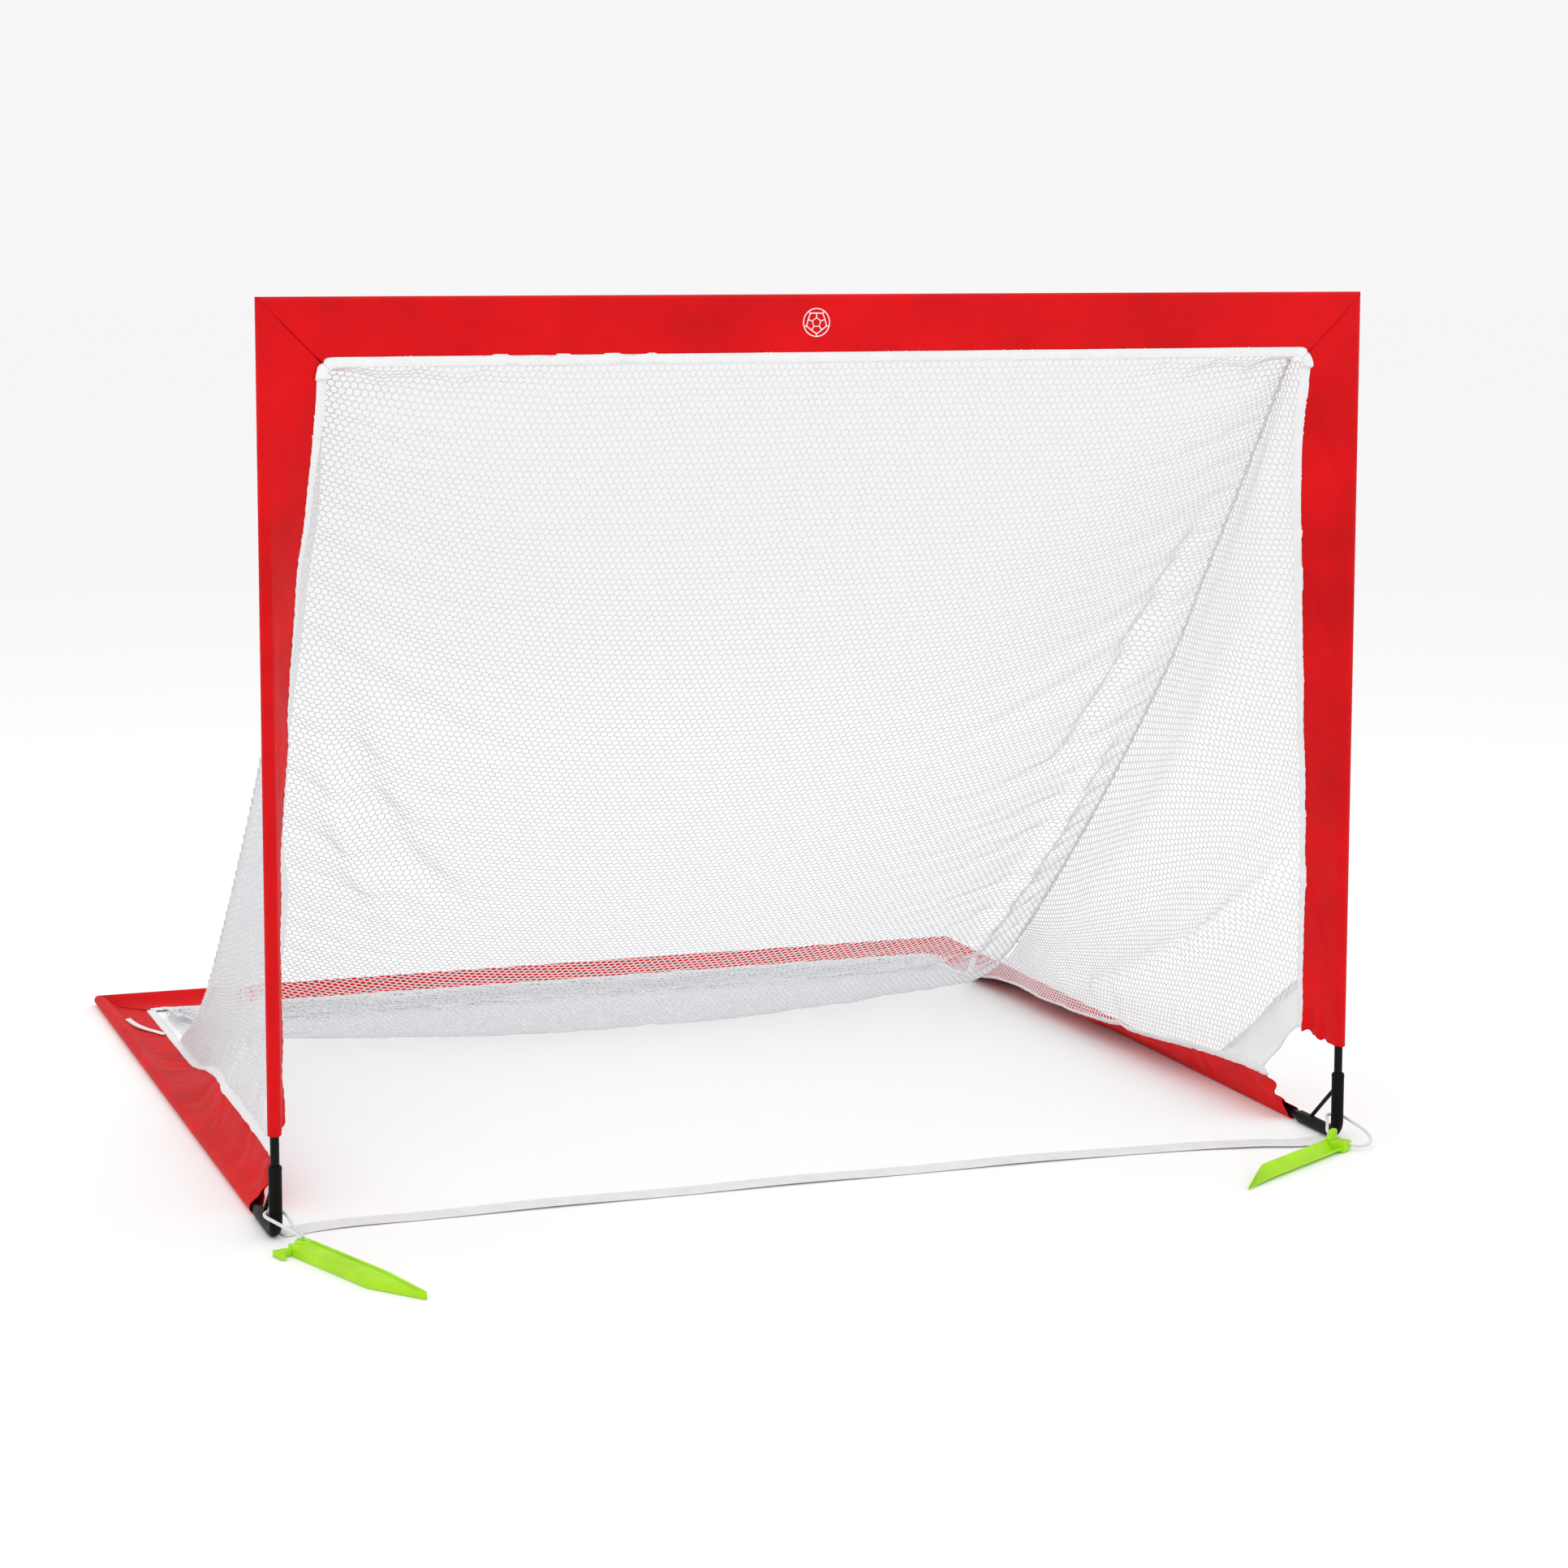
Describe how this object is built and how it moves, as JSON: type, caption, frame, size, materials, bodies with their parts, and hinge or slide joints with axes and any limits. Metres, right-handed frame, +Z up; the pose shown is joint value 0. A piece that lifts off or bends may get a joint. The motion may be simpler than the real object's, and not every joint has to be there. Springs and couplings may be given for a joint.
{
  "type": "pop up goal",
  "caption": "Folding lawn goal: shock-corded poles in red sleeves form a front portal and a ground frame that hold a slack white net bag, with a ground strap and tethered stakes.",
  "frame": {"origin": "on the ground, under the middle of the box round the goal without its strap, stakes and cords", "axes": "+X along the crossbar, +Y from the mouth to the back of the net, +Z up"},
  "size_m": [1.2434, 1.41, 0.9594],
  "materials": {
    "red_polyester": "woven polyester, slight sheen",
    "white_binding": "grosgrain tape",
    "white_net": "knitted hexagonal mesh",
    "white_webbing": "flat woven webbing",
    "white_cord": "braided cord",
    "black_plastic": "moulded",
    "black_fibreglass": "pultruded tube",
    "zinc_steel": "zinc plated",
    "lime_plastic": "moulded, satin"
  },
  "bodies": {
    "base": {"ground_strap": "white_webbing", "left_base_binding": "white_binding", "left_base_ferrule": "zinc_steel", "left_base_front_pole": "black_fibreglass", "left_base_rear_pole": "black_fibreglass", "left_base_shock_cord": "white_cord", "left_base_sleeve": "red_polyester", "left_front_foot": "black_plastic", "left_rear_corner": "black_plastic", "left_rear_tab": "white_webbing", "rear_base_binding": "white_binding", "rear_base_sleeve": "red_polyester", "rear_ferrule": "zinc_steel", "rear_left_pole": "black_fibreglass", "rear_right_pole": "black_fibreglass", "rear_shock_cord": "white_cord", "right_base_binding": "white_binding", "right_base_ferrule": "zinc_steel", "right_base_front_pole": "black_fibreglass", "right_base_rear_pole": "black_fibreglass", "right_base_shock_cord": "white_cord", "right_base_sleeve": "red_polyester", "right_front_foot": "black_plastic", "right_rear_corner": "black_plastic", "right_rear_tab": "white_webbing"},
    "portal": {"back_net": "white_net", "crossbar_binding": "white_binding", "crossbar_ferrule": "zinc_steel", "crossbar_left_pole": "black_fibreglass", "crossbar_right_pole": "black_fibreglass", "crossbar_shock_cord": "white_cord", "crossbar_sleeve": "red_polyester", "left_gusset": "white_webbing", "left_gusset_elastic": "white_cord", "left_side_net": "white_net", "left_top_corner": "black_plastic", "left_upright_binding": "white_binding", "left_upright_ferrule": "zinc_steel", "left_upright_lower_pole": "black_fibreglass", "left_upright_shock_cord": "white_cord", "left_upright_sleeve": "red_polyester", "left_upright_upper_pole": "black_fibreglass", "right_gusset": "white_webbing", "right_gusset_elastic": "white_cord", "right_side_net": "white_net", "right_top_corner": "black_plastic", "right_upright_binding": "white_binding", "right_upright_ferrule": "zinc_steel", "right_upright_lower_pole": "black_fibreglass", "right_upright_shock_cord": "white_cord", "right_upright_sleeve": "red_polyester", "right_upright_upper_pole": "black_fibreglass"},
    "left_stake": {"left_stake": "lime_plastic", "left_stake_cord": "white_cord"},
    "right_stake": {"right_stake": "lime_plastic", "right_stake_cord": "white_cord"}
  },
  "joints": [
    {"name": "portal_lift", "type": "slide", "parent": "base", "child": "portal", "axis": [0, 0, 1], "range_m": [0, 0.045]},
    {"name": "left_stake_swing", "type": "hinge", "parent": "base", "child": "left_stake", "pos_m": [-0.61, -0.5775, 0], "axis": [0, 0, 1], "range_deg": [-75, 50]},
    {"name": "right_stake_swing", "type": "hinge", "parent": "base", "child": "right_stake", "pos_m": [0.61, -0.5775, 0], "axis": [0, 0, 1], "range_deg": [-5, 95]}
  ]
}
